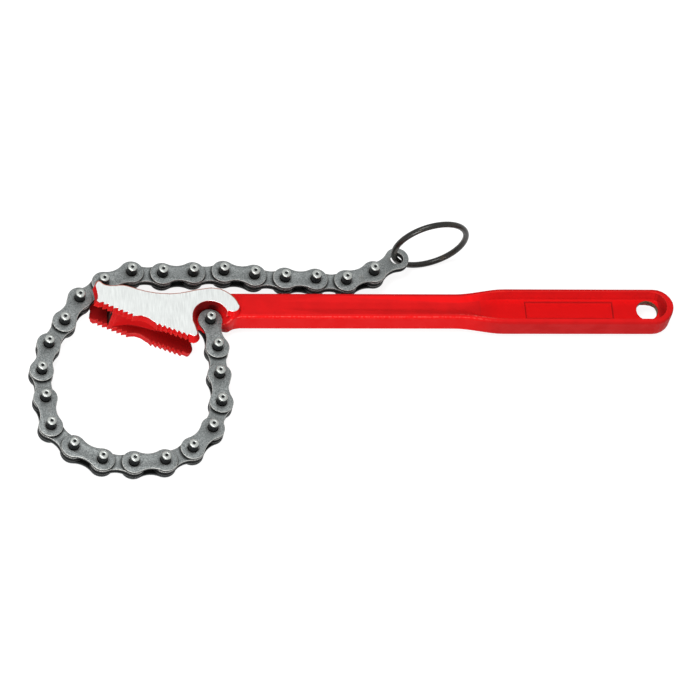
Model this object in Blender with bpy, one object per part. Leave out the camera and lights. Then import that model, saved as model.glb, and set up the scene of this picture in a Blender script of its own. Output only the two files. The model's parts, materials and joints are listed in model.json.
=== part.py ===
"""Chain pipe wrench, 300 mm: a forged lever with double serrated jaws, a leaf chain and a pull ring.

The tool lies flat, as on a bench. +X runs along the lever to the grip, +Y points away from the
pipe, +Z points up. The origin is on the ground face of the rear jaw, on the lever's centreline.
"""

import math

import bmesh
import bpy
from mathutils import Matrix, Vector

MM = 0.001

# Chain: plain leaf plates on riveted pins
CHAIN_PITCH = 15.875 * MM
PLATE_THICKNESS = 1.5 * MM
PLATE_END_RADIUS = 6.2 * MM
PLATE_WAIST = 8.4 * MM
PLATE_GAP = 0.3 * MM
INNER_PLATE_SPREAD = 0.9 * MM
PIN_DIAMETER = 5.0 * MM
PIN_LENGTH = 18.0 * MM
PIN_CHAMFER = 0.4 * MM
PIN_DIMPLE_DIAMETER = 1.7 * MM
PIN_DIMPLE_DEPTH = 0.6 * MM
HOLE_CLEARANCE = 0.3 * MM

# How the chain lies: heading of each link in degrees, from the anchor pin to the hooked pin,
# then from the hooked pin to the pull ring
LOOP_HEADINGS = (-80, -90, -90, -110, -133, -154, -176, -185, -208, -227, -263, -266, -286, -303, -302, -324)
TAIL_HEADINGS = (23, -3, 2, 3, -8, -6, -2, -3, 20, 34)

# Pull ring in the free hole of the last link
RING_HOLE_DIAMETER = 6.8 * MM
RING_WIRE = 3.2 * MM
RING_OUTER_DIAMETER = 42.0 * MM
RING_HEADING = 11.5
RING_FLOOR_GAP = 0.1 * MM

# Head: two jaws with an open slot between them
JAW_THICKNESS = 4.7 * MM
SLOT_WIDTH = 12.6 * MM
HEAD_THICKNESS = SLOT_WIDTH + 2 * JAW_THICKNESS
ANCHOR_PIN = Vector((20.0, -7.3)) * MM
HOOK_NOTCH = Vector((-33.1, 9.1)) * MM
HOOK_LIFT = 5.6 * MM
TOOTH_PITCH = 2.63 * MM
TOOTH_DEPTH = 1.15 * MM
TOOTH_STEEP_RUN = 0.6 * MM
FRONT_ROW_START = Vector((-37.24, 0.12)) * MM
FRONT_ROW_ANGLE = -25.4
FRONT_ROW_TEETH = 8
BACK_ROW_START = Vector((-9.76, -12.46)) * MM
BACK_ROW_ANGLE = -22.3
BACK_ROW_TEETH = 7
NOSE_DRAFT = 1.2 * MM
FLANK_DRAFT = 1.4 * MM
POCKET_DRAFT = 1.8 * MM
REAR_POCKET_DRAFT = 0.9 * MM
TOP_DRAFT = 0.3 * MM
TEETH_DRAFT = 0.35 * MM
REAR_JAW_SHIFT = Vector((-1.0, 0.0)) * MM
SLOT_REACH = 60.0 * MM
SLOT_OVERLAP = 5.0 * MM

# Lug that carries the anchor pin, in a pocket that narrows towards it
LUG_THICKNESS = 2 * PLATE_THICKNESS + INNER_PLATE_SPREAD
LUG_RADIUS = 5.6 * MM
POCKET_CENTRE = Vector((19.2, -9.6)) * MM
POCKET_RADIUS = 9.5 * MM
POCKET_SIDE = Vector((10.2, -11.2)) * MM
POCKET_FLOOR_MARGIN = 0.6 * MM
COVE_CENTRE = Vector((22.0, -11.5)) * MM
COVE_RADIUS = 9.0 * MM
COVE_RISE = 0.3 * MM
COVE_OVERCUT = 0.5 * MM

# Shank and grip
SHANK_WIDTH = 14.4 * MM
SHANK_THICKNESS = 13.0 * MM
GRIP_WIDTH = 20.2 * MM
GRIP_THICKNESS = 14.0 * MM
EDGE_RADIUS = 1.5 * MM
SHANK_START_X = 14.0 * MM
SHANK_START_TOP = 4.6 * MM
SHANK_START_LOW = 2.0 * MM
SHANK_START_INSET = 0.4 * MM
SHANK_SWELL_X = 24.0 * MM
SHANK_SWELL_LOW = 5.5 * MM
SHANK_SWELL_INSET = 0.1 * MM
SHANK_FULL_X = 32.0 * MM
FLARE_START_X = 148.0 * MM
FLARE_END_X = 174.0 * MM
GRIP_END_X = 262.4 * MM
HANGING_HOLE_DIAMETER = 11.2 * MM
HANGING_HOLE_FROM_END = 13.1 * MM

# Channel along both faces of the lever: shallow in the shank, deep in the grip
CHANNEL_START_X = 52.0 * MM
CHANNEL_START_LIFT = 0.1 * MM
CHANNEL_RUN_IN = 30.0 * MM
CHANNEL_RIM = 2.1 * MM
CHANNEL_WALL_RUN = 1.5 * MM
CHANNEL_END_RIM = 3.8 * MM
GRIP_CHANNEL_DEPTH = 4.0 * MM
SHANK_CHANNEL_DEPTH = 1.5 * MM
SHANK_CHANNEL_WIDTH = 10.4 * MM
SHANK_CHANNEL_FLOOR = 4.0 * MM
PANEL_START_X = 185.0 * MM
PANEL_LENGTH = 46.0 * MM
PANEL_WIDTH = 9.6 * MM
PANEL_DEPTH = 0.4 * MM

# How the grip's channel rises to its round end: degrees round the end and share of the full depth
CHANNEL_END = ((0, 1.0), (20, 1.0), (35, 0.96), (48, 0.82), (60, 0.6), (72, 0.34), (82, 0.12))

# Fineness of round shapes
PLATE_END_SEGMENTS = 9
PLATE_WAIST_SEGMENTS = 4
PIN_SEGMENTS = 10
CURVE_STEPS = 4
ANCHOR_HOLE_SEGMENTS = 16
HANGING_HOLE_SEGMENTS = 28
POCKET_SEGMENTS = 32

PIN_RADIUS = PIN_DIAMETER / 2
MID_Z = HEAD_THICKNESS / 2
INNER_PLATE_Z = INNER_PLATE_SPREAD / 2 + PLATE_THICKNESS / 2
OUTER_PLATE_Z = INNER_PLATE_Z + PLATE_THICKNESS + PLATE_GAP
CUT_MARGIN = 2.0 * MM


def remove_scene_objects():
    for old in list(bpy.data.objects):
        bpy.data.objects.remove(old, do_unlink=True)


def make_collection(name):
    collection = bpy.data.collections.new(name)
    bpy.context.scene.collection.children.link(collection)
    return collection


def make_material(name, colour, roughness, metallic):
    material = bpy.data.materials.new(name)
    material.use_nodes = True
    shader = material.node_tree.nodes["Principled BSDF"]
    shader.inputs["Base Color"].default_value = (*colour, 1.0)
    shader.inputs["Roughness"].default_value = roughness
    shader.inputs["Metallic"].default_value = metallic
    return material


def add_object(name, mesh, collection, material=None):
    item = bpy.data.objects.new(name, mesh)
    collection.objects.link(item)
    if material:
        item.data.materials.append(material)
    return item


def heading_vector(degrees):
    angle = math.radians(degrees)
    return Vector((math.cos(angle), math.sin(angle)))


def arc(centre, radius, start, end, segments):
    """Points on an arc from one angle to the other, in radians, both ends included."""
    angles = [start + (end - start) * i / segments for i in range(segments + 1)]
    return [centre + radius * Vector((math.cos(a), math.sin(a))) for a in angles]


def round_hole(centre, radius, segments):
    """A polygon whose flats lie on the circle, so that the round pin clears it all round."""
    corner_radius = radius / math.cos(math.pi / segments)
    return arc(centre, corner_radius, 0.0, 2 * math.pi, segments)[:-1]


def smooth_through(points, steps=CURVE_STEPS):
    """A Catmull-Rom curve through hand-placed points, ends included."""
    padded = [2 * points[0] - points[1], *points, 2 * points[-1] - points[-2]]
    curve = []
    for a, b, c, d in zip(padded, padded[1:], padded[2:], padded[3:]):
        for i in range(steps):
            t = i / steps
            curve.append(0.5 * (2 * b + (c - a) * t + (2 * a - 5 * b + 4 * c - d) * t ** 2
                                + (3 * b - a - 3 * c + d) * t ** 3))
    curve.append(points[-1].copy())
    return curve


def flat_solid(outline, holes, low, high):
    """Mesh of a flat outline with holes, filled and extruded between two heights."""
    curve = bpy.data.curves.new("outline", "CURVE")
    curve.dimensions = "2D"
    curve.fill_mode = "BOTH"
    curve.extrude = (high - low) / 2
    for loop in (outline, *holes):
        spline = curve.splines.new("POLY")
        spline.points.add(len(loop) - 1)
        for point, place in zip(spline.points, loop):
            point.co = (place.x, place.y, 0.0, 1.0)
        spline.use_cyclic_u = True
    guide = bpy.data.objects.new("outline", curve)
    bpy.context.scene.collection.objects.link(guide)
    depsgraph = bpy.context.evaluated_depsgraph_get()
    mesh = bpy.data.meshes.new_from_object(guide.evaluated_get(depsgraph))
    bpy.data.objects.remove(guide, do_unlink=True)
    shape = bmesh.new()
    shape.from_mesh(mesh)
    bmesh.ops.remove_doubles(shape, verts=shape.verts, dist=0.001 * MM)
    bmesh.ops.translate(shape, verts=shape.verts, vec=(0.0, 0.0, (low + high) / 2))
    bmesh.ops.recalc_face_normals(shape, faces=shape.faces)
    shape.to_mesh(mesh)
    shape.free()
    return mesh


def loft(name, sections):
    """Closed skin over rings of equally many points, with a cap on the first and last ring."""
    shape = bmesh.new()
    rings = [[shape.verts.new(point) for point in section] for section in sections]
    for near, far in zip(rings, rings[1:]):
        count = len(near)
        for i in range(count):
            shape.faces.new((near[i], near[(i + 1) % count], far[(i + 1) % count], far[i]))
    shape.faces.new(rings[0])
    shape.faces.new(rings[-1])
    bmesh.ops.triangulate(shape, faces=[face for face in shape.faces if len(face.verts) > 4])
    bmesh.ops.recalc_face_normals(shape, faces=shape.faces)
    mesh = bpy.data.meshes.new(name)
    shape.to_mesh(mesh)
    shape.free()
    return mesh


def combine(target, tool, operation):
    """Boolean of one object with another, which is then hidden among the cutters."""
    modifier = target.modifiers.new(tool.name, "BOOLEAN")
    modifier.operation = operation
    modifier.object = tool
    tool.hide_render = True
    tool.display_type = "WIRE"


def shade_smooth(item, angle=35):
    item.data.shade_smooth()
    item.data.set_sharp_from_angle(angle=math.radians(angle))


# Chain layout

def chain_points():
    """Centres of all pins and of the ring hole; the loop is bent a little to end at the hook."""
    hook = Vector((HOOK_NOTCH.x, HOOK_NOTCH.y + HOOK_LIFT))
    middle = (len(LOOP_HEADINGS) - 1) / 2

    def lay(start, headings, turn=0.0, bend=0.0):
        points = [start.copy()]
        for i, heading in enumerate(headings):
            step = heading_vector(heading + turn + bend * (i - middle))
            points.append(points[-1] + CHAIN_PITCH * step)
        return points

    turn = bend = 0.0
    nudge = 0.01
    for _ in range(12):
        miss = lay(ANCHOR_PIN, LOOP_HEADINGS, turn, bend)[-1] - hook
        by_turn = (lay(ANCHOR_PIN, LOOP_HEADINGS, turn + nudge, bend)[-1] - hook - miss) / nudge
        by_bend = (lay(ANCHOR_PIN, LOOP_HEADINGS, turn, bend + nudge)[-1] - hook - miss) / nudge
        scale = by_turn.x * by_bend.y - by_turn.y * by_bend.x
        turn -= (miss.x * by_bend.y - miss.y * by_bend.x) / scale
        bend -= (by_turn.x * miss.y - by_turn.y * miss.x) / scale
    loop = lay(ANCHOR_PIN, LOOP_HEADINGS, turn, bend)
    return loop + lay(loop[-1], TAIL_HEADINGS)[1:]


# Chain pieces, modelled along +X from the first hole and centred on Z = 0

def plate_outline():
    """Two round ends joined by a hollow waist, tangent where they meet."""
    half_pitch = CHAIN_PITCH / 2
    half_waist = PLATE_WAIST / 2
    corner_square = half_pitch ** 2 + half_waist ** 2 - PLATE_END_RADIUS ** 2
    waist_radius = corner_square / (2 * (PLATE_END_RADIUS - half_waist))
    waist_height = waist_radius + half_waist
    tangent = math.atan2(waist_height, half_pitch)
    near = Vector((0.0, 0.0))
    far = Vector((CHAIN_PITCH, 0.0))
    top = Vector((half_pitch, waist_height))
    bottom = Vector((half_pitch, -waist_height))
    outline = arc(near, PLATE_END_RADIUS, tangent, 2 * math.pi - tangent, PLATE_END_SEGMENTS)
    outline += arc(bottom, waist_radius, math.pi - tangent, tangent, PLATE_WAIST_SEGMENTS)[1:-1]
    outline += arc(far, PLATE_END_RADIUS, tangent - math.pi, math.pi - tangent, PLATE_END_SEGMENTS)
    outline += arc(top, waist_radius, -tangent, tangent - math.pi, PLATE_WAIST_SEGMENTS)[1:-1]
    return outline


def plate_mesh(name, height, hole_radii):
    """One chain plate centred on a height, with a hole at each end where a radius is given."""
    places = (Vector((0.0, 0.0)), Vector((CHAIN_PITCH, 0.0)))
    holes = [round_hole(place, radius, PIN_SEGMENTS) for place, radius in zip(places, hole_radii) if radius]
    low = height - PLATE_THICKNESS / 2
    mesh = flat_solid(plate_outline(), holes, low, low + PLATE_THICKNESS)
    mesh.name = name
    return mesh


def pin_mesh():
    """A riveted pin: chamfered ends, each with a punched dimple."""
    half = PIN_LENGTH / 2
    profile = (
        (0.0, half - PIN_DIMPLE_DEPTH),
        (PIN_DIMPLE_DIAMETER / 2, half),
        (PIN_RADIUS - PIN_CHAMFER, half),
        (PIN_RADIUS, half - PIN_CHAMFER),
    )
    profile += tuple((radius, -height) for radius, height in reversed(profile))
    shape = bmesh.new()
    for radius, height in profile:
        shape.verts.new((radius, 0.0, height))
    shape.verts.ensure_lookup_table()
    for i in range(len(profile) - 1):
        shape.edges.new((shape.verts[i], shape.verts[i + 1]))
    bmesh.ops.spin(shape, geom=list(shape.verts) + list(shape.edges), cent=(0, 0, 0), axis=(0, 0, 1),
                   angle=2 * math.pi, steps=PIN_SEGMENTS, use_duplicate=False)
    bmesh.ops.remove_doubles(shape, verts=shape.verts, dist=0.001 * MM)
    bmesh.ops.recalc_face_normals(shape, faces=shape.faces)
    mesh = bpy.data.meshes.new("pin")
    shape.to_mesh(mesh)
    shape.free()
    return mesh


def pin_plate_mesh(cutters):
    """The rear plate of an outer link with its two riveted pins."""
    base = add_object("pin_plate_base", plate_mesh("pin_plate", -OUTER_PLATE_Z, (None, None)), cutters)
    pins = pin_mesh()
    for end in (0.0, CHAIN_PITCH):
        pin = add_object("rivet_pin", pins, cutters)
        pin.location.x = end
        combine(base, pin, "UNION")
    bpy.context.view_layer.update()
    depsgraph = bpy.context.evaluated_depsgraph_get()
    mesh = bpy.data.meshes.new_from_object(base.evaluated_get(depsgraph))
    mesh.name = "pin_plate"
    bpy.data.objects.remove(base, do_unlink=True)
    return mesh


def build_chain(parts, cutters, plate_steel):
    """Outer and inner links in turn along the chain, ending in the free holes for the ring."""
    points = chain_points()
    hole = PIN_RADIUS + HOLE_CLEARANCE
    ring_hole = RING_HOLE_DIAMETER / 2
    pin_plate = pin_plate_mesh(cutters)
    cover_plate = plate_mesh("cover_plate", OUTER_PLATE_Z, (hole, hole))
    front_plate = plate_mesh("front_plate", INNER_PLATE_Z, (hole, hole))
    rear_plate = plate_mesh("rear_plate", -INNER_PLATE_Z, (hole, hole))
    last_front_plate = plate_mesh("last_front_plate", INNER_PLATE_Z, (hole, ring_hole))
    last_rear_plate = plate_mesh("last_rear_plate", -INNER_PLATE_Z, (hole, ring_hole))
    for mesh in (pin_plate, cover_plate, front_plate, rear_plate, last_front_plate, last_rear_plate):
        mesh.materials.append(plate_steel)
    link_count = (len(points) - 1) // 2
    for index in range(2 * link_count):
        number = index // 2 + 1
        if index % 2 == 0:
            link = f"outer_link_{number:02d}"
            pieces = ((f"{link}_pin_plate", pin_plate), (f"{link}_cover_plate", cover_plate))
        else:
            link = f"inner_link_{number:02d}"
            is_last = number == link_count
            pieces = ((f"{link}_front_plate", last_front_plate if is_last else front_plate),
                      (f"{link}_rear_plate", last_rear_plate if is_last else rear_plate))
        start, end = points[index], points[index + 1]
        axis = bpy.data.objects.new(f"{link}_axis", None)
        parts.objects.link(axis)
        axis.location = (start.x, start.y, MID_Z)
        axis.rotation_euler.z = math.atan2(end.y - start.y, end.x - start.x)
        for name, mesh in pieces:
            piece = add_object(name, mesh, parts)
            piece.parent = axis
            shade_smooth(piece)
    return points[-1]


def build_ring(parts, ring_steel, hole_centre):
    """The pull ring stands upright in the last hole and tips until it just clears the bench."""
    wire_radius = RING_WIRE / 2
    radius = RING_OUTER_DIAMETER / 2 - wire_radius
    rise = radius + wire_radius + RING_FLOOR_GAP - MID_Z
    tilt = math.asin(rise / radius)
    reach = heading_vector(RING_HEADING) * radius * math.cos(tilt)
    bpy.ops.mesh.primitive_torus_add(major_radius=radius, minor_radius=wire_radius,
                                     major_segments=36, minor_segments=8)
    ring = bpy.context.object
    ring.name = "pull_ring"
    ring.data.name = "pull_ring"
    for owner in list(ring.users_collection):
        owner.objects.unlink(ring)
    parts.objects.link(ring)
    ring.data.materials.append(ring_steel)
    upright = Matrix.Rotation(math.radians(90), 4, "X")
    ring.data.transform(Matrix.Translation((radius * math.cos(tilt), 0.0, rise)) @ upright)
    ring.location = (hole_centre.x, hole_centre.y, MID_Z)
    ring.rotation_euler.z = math.atan2(reach.y, reach.x)
    ring.data.shade_smooth()
    return ring


# Lever

def row_of_teeth(start, angle, count, tip_run):
    """Saw teeth along a line; tip_run is how far along the line each tip stands from its root."""
    along = heading_vector(angle)
    outward = Vector((along.y, -along.x))
    points = []
    for i in range(count):
        root = start + along * TOOTH_PITCH * i
        points.append(root)
        points.append(root + along * tip_run + outward * TOOTH_DEPTH)
    points.append(start + along * TOOTH_PITCH * count)
    return points


def jaw_outline(tip_draft):
    """Outline of a ground jaw face, each point with the draft of its flank below the face."""
    def smooth(*places):
        return smooth_through([Vector(place) * MM for place in places], steps=2)

    nose = smooth((-38.2, -0.2), (-37.7, 2.6), (-37.9, 5.5), (-38.5, 8.6))
    crest = smooth((-38.1, 10.6), (-36.7, 11.5))
    notch = smooth((-35.5, 10.8), (-34.4, 9.6), (-32.8, 8.9), (-30.6, 8.6))
    back = smooth((-28.0, 8.7), (-24.6, 9.0), (-20.0, 7.7), (-13.0, 5.4), (-4.0, 4.0), (4.5, 4.4),
                  (13.0, 6.3), (20.5, 7.5))
    tail = smooth((25.5, 6.8), (29.3, 4.5), (32.4, 1.4), (34.2, -2.6), (33.6, -5.1), (31.4, -6.4),
                  (28.8, -5.9))
    tip = smooth((10.4, -12.8), (11.1, -15.8), (11.5, -18.4), (11.0, -20.0), (9.9, -20.6), (8.8, -20.2))
    relief = smooth((-16.4, -8.8), (-13.3, -9.9), (-10.6, -12.0))
    back_row = row_of_teeth(BACK_ROW_START, BACK_ROW_ANGLE, BACK_ROW_TEETH, TOOTH_PITCH - TOOTH_STEEP_RUN)
    front_row = row_of_teeth(FRONT_ROW_START, FRONT_ROW_ANGLE, FRONT_ROW_TEETH, TOOTH_STEEP_RUN)
    drafted = [(nose, NOSE_DRAFT), (crest, TOP_DRAFT), (notch, 0.0), (back, TOP_DRAFT), (tail, FLANK_DRAFT),
               ([POCKET_CENTRE, POCKET_SIDE], 0.0), (tip, tip_draft),
               (back_row[::-1], TEETH_DRAFT), (relief[::-1], TEETH_DRAFT), (front_row[:0:-1], TEETH_DRAFT)]
    return [(point, draft) for points, draft in drafted for point in points]


def offset_outline(outline):
    """The outline pushed outward at each point by its own draft."""
    count = len(outline)
    pushed = []
    for i, (point, draft) in enumerate(outline):
        before = outline[i - 1][0]
        after = outline[(i + 1) % count][0]
        tangent = (after - before).normalized()
        pushed.append(point + Vector((-tangent.y, tangent.x)) * draft)
    return pushed


def head_block():
    """Both jaws as one block, drafted to the ground faces; the rear jaw is forged a little off the front."""
    front = jaw_outline(POCKET_DRAFT)
    rear = [(point + REAR_JAW_SHIFT, draft) for point, draft in jaw_outline(REAR_POCKET_DRAFT)]
    levels = (([point for point, _ in rear], 0.0),
              (offset_outline(rear), JAW_THICKNESS),
              (offset_outline(front), JAW_THICKNESS + SLOT_WIDTH),
              ([point for point, _ in front], HEAD_THICKNESS))
    return loft("head_block", [[(p.x, p.y, z) for p in section] for section, z in levels])


def web_top():
    """Upper edge of the web between the jaws, sunk so that the chain's plates clear it."""
    return smooth_through([Vector(place) * MM for place in (
        (-30.6, 5.4), (-25.0, 5.2), (-17.0, 3.2), (-8.0, 1.6), (0.0, 1.2), (8.0, 2.6), (15.0, 5.2),
        (19.0, 6.6))])


def web_underside():
    """Lower edge of the web, from its corner at the front teeth to the anchor pocket."""
    return smooth_through([Vector(place) * MM for place in (
        (-31.4, -6.0), (-27.0, -5.0), (-21.4, -4.4), (-17.0, -5.0), (-12.8, -6.1), (-7.0, -7.8), (2.0, -9.0),
        (9.0, -10.5))])


def slot_above_web():
    """Space between the jaws above the web, open to the far side and round the nose."""
    top = web_top()
    front_corner = web_underside()[0]
    outline = top + [Vector((top[-1].x, SLOT_REACH)), Vector((-SLOT_REACH, SLOT_REACH)),
                     Vector((-SLOT_REACH, -SLOT_REACH)), Vector((front_corner.x, -SLOT_REACH)), front_corner]
    return flat_solid(outline, [], MID_Z - SLOT_WIDTH / 2, MID_Z + SLOT_WIDTH / 2)


def slot_below_web():
    """Space between the jaws below the web, from its front corner to the lug."""
    underside = web_underside()
    lug_side = ANCHOR_PIN.x - LUG_RADIUS
    outline = underside + [Vector((lug_side, underside[-1].y)), Vector((lug_side, -SLOT_REACH)),
                           Vector((underside[0].x - SLOT_OVERLAP, -SLOT_REACH))]
    return flat_solid(outline, [], MID_Z - SLOT_WIDTH / 2, MID_Z + SLOT_WIDTH / 2)


def lug():
    """The tongue round the anchor pin, faired into the web and the heel of the shank."""
    places = [Vector(place) * MM for place in ((33.5, -6.4), (30.6, -8.2), (27.2, -8.7))]
    bottom = arc(ANCHOR_PIN, LUG_RADIUS, math.radians(-30), math.radians(-185), 8)
    top = [Vector(place) * MM for place in ((9.0, -3.0), (18.0, 2.0), (33.5, 2.0))]
    return flat_solid(places + bottom + top, [], MID_Z - LUG_THICKNESS / 2, MID_Z + LUG_THICKNESS / 2)


def heel():
    """Full-thickness bump under the start of the shank, right of the pocket."""
    outline = smooth_through([Vector(place) * MM for place in (
        (36.0, -6.9), (33.0, -7.4), (31.4, -8.3), (29.6, -9.1), (27.0, -9.3), (24.0, -9.1))], steps=2)
    outline += [Vector((22.0, -4.0)) * MM, Vector((36.0, -4.0)) * MM]
    half = SHANK_THICKNESS / 2 - EDGE_RADIUS / 4
    return flat_solid(outline, [], MID_Z - half, MID_Z + half)


def rounded_section(x, half_width, half_thickness, low_side=None):
    """Ring of points round a rounded rectangle that stands across the lever."""
    radius = min(EDGE_RADIUS, half_width * 0.8)
    low = half_width if low_side is None else low_side
    ring = []
    side_z = half_thickness - radius
    corners = ((half_width - radius, side_z, 0), (radius - low, side_z, 90),
               (radius - low, -side_z, 180), (half_width - radius, -side_z, 270))
    for y, z, start in corners:
        for turn in (0, 45, 90):
            angle = math.radians(start + turn)
            ring.append((x, y + radius * math.cos(angle), MID_Z + z + radius * math.sin(angle)))
    return ring


def ease(t):
    """Smooth step from 0 to 1."""
    t = min(max(t, 0.0), 1.0)
    return t * t * (3 - 2 * t)


def shank_and_grip():
    """One loft from the web along the shank, through the flare, to the round end of the grip."""
    half_width = SHANK_WIDTH / 2
    half_thickness = SHANK_THICKNESS / 2
    sections = [rounded_section(SHANK_START_X, SHANK_START_TOP, half_thickness - SHANK_START_INSET, SHANK_START_LOW),
                rounded_section(SHANK_SWELL_X, half_width - SHANK_SWELL_INSET, half_thickness, SHANK_SWELL_LOW),
                rounded_section(SHANK_FULL_X, half_width, half_thickness)]
    steps = 8
    for i in range(steps + 1):
        t = ease(i / steps)
        x = FLARE_START_X + (FLARE_END_X - FLARE_START_X) * i / steps
        width = SHANK_WIDTH + (GRIP_WIDTH - SHANK_WIDTH) * t
        thickness = SHANK_THICKNESS + (GRIP_THICKNESS - SHANK_THICKNESS) * t
        sections.append(rounded_section(x, width / 2, thickness / 2))
    end_radius = GRIP_WIDTH / 2
    for degrees in (0, 15, 30, 45, 58, 70, 80):
        angle = math.radians(degrees)
        x = GRIP_END_X - end_radius + end_radius * math.sin(angle)
        sections.append(rounded_section(x, end_radius * math.cos(angle), GRIP_THICKNESS / 2))
    return loft("shank_and_grip", sections)


def channel_cutter(side):
    """Tapering trough for one face of the lever; side is 1 for the front face, -1 for the rear."""
    def section(x, top_half, floor_half, face, depth):
        top = MID_Z + side * (face + CUT_MARGIN)
        mouth = MID_Z + side * face
        floor = MID_Z + side * (face - depth)
        return [(x, top_half, top), (x, top_half, mouth), (x, floor_half, floor),
                (x, -floor_half, floor), (x, -top_half, mouth), (x, -top_half, top)]

    shank_face = SHANK_THICKNESS / 2
    grip_face = GRIP_THICKNESS / 2
    shank_top = SHANK_CHANNEL_WIDTH / 2
    shank_floor = SHANK_CHANNEL_FLOOR / 2
    grip_top = GRIP_WIDTH / 2 - CHANNEL_RIM
    grip_floor = grip_top - CHANNEL_WALL_RUN
    run_in_top = (3 * shank_top + shank_floor) / 4
    sections = [section(CHANNEL_START_X, run_in_top, shank_floor, shank_face, -CHANNEL_START_LIFT),
                section(CHANNEL_START_X + CHANNEL_RUN_IN, shank_top, shank_floor, shank_face,
                        SHANK_CHANNEL_DEPTH / 2)]
    steps = 6
    for i in range(steps + 1):
        t = ease(i / steps)
        x = FLARE_START_X + (FLARE_END_X - FLARE_START_X) * i / steps
        top_half = shank_top + (grip_top - shank_top) * t
        floor_half = shank_floor + (grip_floor - shank_floor) * t
        face = shank_face + (grip_face - shank_face) * t
        depth = SHANK_CHANNEL_DEPTH + (GRIP_CHANNEL_DEPTH - SHANK_CHANNEL_DEPTH) * t
        sections.append(section(x, top_half, floor_half, face, depth))
    end_top_x = GRIP_END_X - CHANNEL_END_RIM
    for degrees, depth_share in CHANNEL_END:
        angle = math.radians(degrees)
        x = end_top_x - grip_top + grip_top * math.sin(angle)
        sections.append(section(x, grip_top * math.cos(angle), grip_floor * math.cos(angle), grip_face,
                                GRIP_CHANNEL_DEPTH * depth_share))
    return loft("channel", sections)


def tapered_cutter(name, floor_radius, floor_height, mouth_centre, mouth_radius, mouth_height, height, side):
    """Oblique cone round the anchor pin, given by its circles at the floor and at the mouth."""
    floor_centre = ANCHOR_PIN
    share = (height - floor_height) / (mouth_height - floor_height)
    top_centre = floor_centre + (mouth_centre - floor_centre) * share
    top_radius = floor_radius + (mouth_radius - floor_radius) * share
    floor_ring = arc(floor_centre, floor_radius, 0.0, 2 * math.pi, POCKET_SEGMENTS)[:-1]
    top_ring = arc(top_centre, top_radius, 0.0, 2 * math.pi, POCKET_SEGMENTS)[:-1]
    return loft(name, [[(p.x, p.y, MID_Z + side * floor_height) for p in floor_ring],
                       [(p.x, p.y, MID_Z + side * height) for p in top_ring]])


def upright_cylinder(name, centre, radius, low, high, segments):
    shape = bmesh.new()
    bmesh.ops.create_cone(shape, cap_ends=True, segments=segments, radius1=radius, radius2=radius,
                          depth=high - low, matrix=Matrix.Translation((centre.x, centre.y, (low + high) / 2)))
    mesh = bpy.data.meshes.new(name)
    shape.to_mesh(mesh)
    shape.free()
    return mesh


def panel_cutter():
    """Shallow bare field sunk into the front channel's floor."""
    floor = MID_Z + GRIP_THICKNESS / 2 - GRIP_CHANNEL_DEPTH
    half = PANEL_WIDTH / 2
    end_x = PANEL_START_X + PANEL_LENGTH
    outline = [Vector((PANEL_START_X, -half)), Vector((end_x, -half)), Vector((end_x, half)),
               Vector((PANEL_START_X, half))]
    return flat_solid(outline, [], floor - PANEL_DEPTH, floor + CUT_MARGIN)


def build_lever(parts, cutters, red_paint):
    """The forging: jaws, web, lug, shank and grip in one piece."""
    lever = add_object("lever", head_block(), parts, red_paint)
    half_head = HEAD_THICKNESS / 2
    half_shank = SHANK_THICKNESS / 2
    lug_face = LUG_THICKNESS / 2
    pocket_floor_radius = PLATE_END_RADIUS + POCKET_FLOOR_MARGIN
    anchor_hole = PIN_RADIUS + HOLE_CLEARANCE
    hanging_hole = Vector((GRIP_END_X - HANGING_HOLE_FROM_END, 0.0))
    steps = [
        ("slot_above_web", slot_above_web(), "DIFFERENCE"),
        ("slot_below_web", slot_below_web(), "DIFFERENCE"),
        ("shank_and_grip", shank_and_grip(), "UNION"),
        ("heel", heel(), "UNION"),
        ("lug", lug(), "UNION"),
    ]
    for side, face in ((1, "front"), (-1, "rear")):
        pocket = tapered_cutter("pocket", pocket_floor_radius, lug_face, POCKET_CENTRE, POCKET_RADIUS,
                                half_head, half_head + CUT_MARGIN, side)
        cove = tapered_cutter("cove", pocket_floor_radius, lug_face + COVE_RISE, COVE_CENTRE, COVE_RADIUS,
                              half_shank, half_shank + COVE_OVERCUT, side)
        steps.append((f"{face}_pocket", pocket, "DIFFERENCE"))
        steps.append((f"{face}_cove", cove, "DIFFERENCE"))
        steps.append((f"{face}_channel", channel_cutter(side), "DIFFERENCE"))
    steps.append(("panel", panel_cutter(), "DIFFERENCE"))
    anchor_bore = upright_cylinder("anchor_hole", ANCHOR_PIN,
                                   anchor_hole / math.cos(math.pi / ANCHOR_HOLE_SEGMENTS),
                                   0.0, HEAD_THICKNESS, ANCHOR_HOLE_SEGMENTS)
    hanging_bore = upright_cylinder("hanging_hole", hanging_hole, HANGING_HOLE_DIAMETER / 2,
                                    0.0, HEAD_THICKNESS, HANGING_HOLE_SEGMENTS)
    steps.append(("anchor_hole", anchor_bore, "DIFFERENCE"))
    steps.append(("hanging_hole", hanging_bore, "DIFFERENCE"))
    for name, mesh, operation in steps:
        combine(lever, add_object(name, mesh, cutters), operation)
    return lever


def main():
    remove_scene_objects()
    parts = make_collection("chain_pipe_wrench")
    cutters = make_collection("cutters")
    red_paint = make_material("red_paint", (0.80, 0.015, 0.018), 0.35, 0.0)
    plate_steel = make_material("chain_steel", (0.26, 0.28, 0.28), 0.5, 0.9)
    ring_steel = make_material("ring_steel", (0.06, 0.05, 0.045), 0.4, 0.9)
    build_lever(parts, cutters, red_paint)
    hole_centre = build_chain(parts, cutters, plate_steel)
    build_ring(parts, ring_steel, hole_centre)


main()
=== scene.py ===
"""Looks of the chain pipe wrench: finer shapes for the lever, chain and ring, materials, light and camera."""

import json
import math

import bmesh
import bpy
import numpy as np
from mathutils import Matrix, Vector


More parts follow.
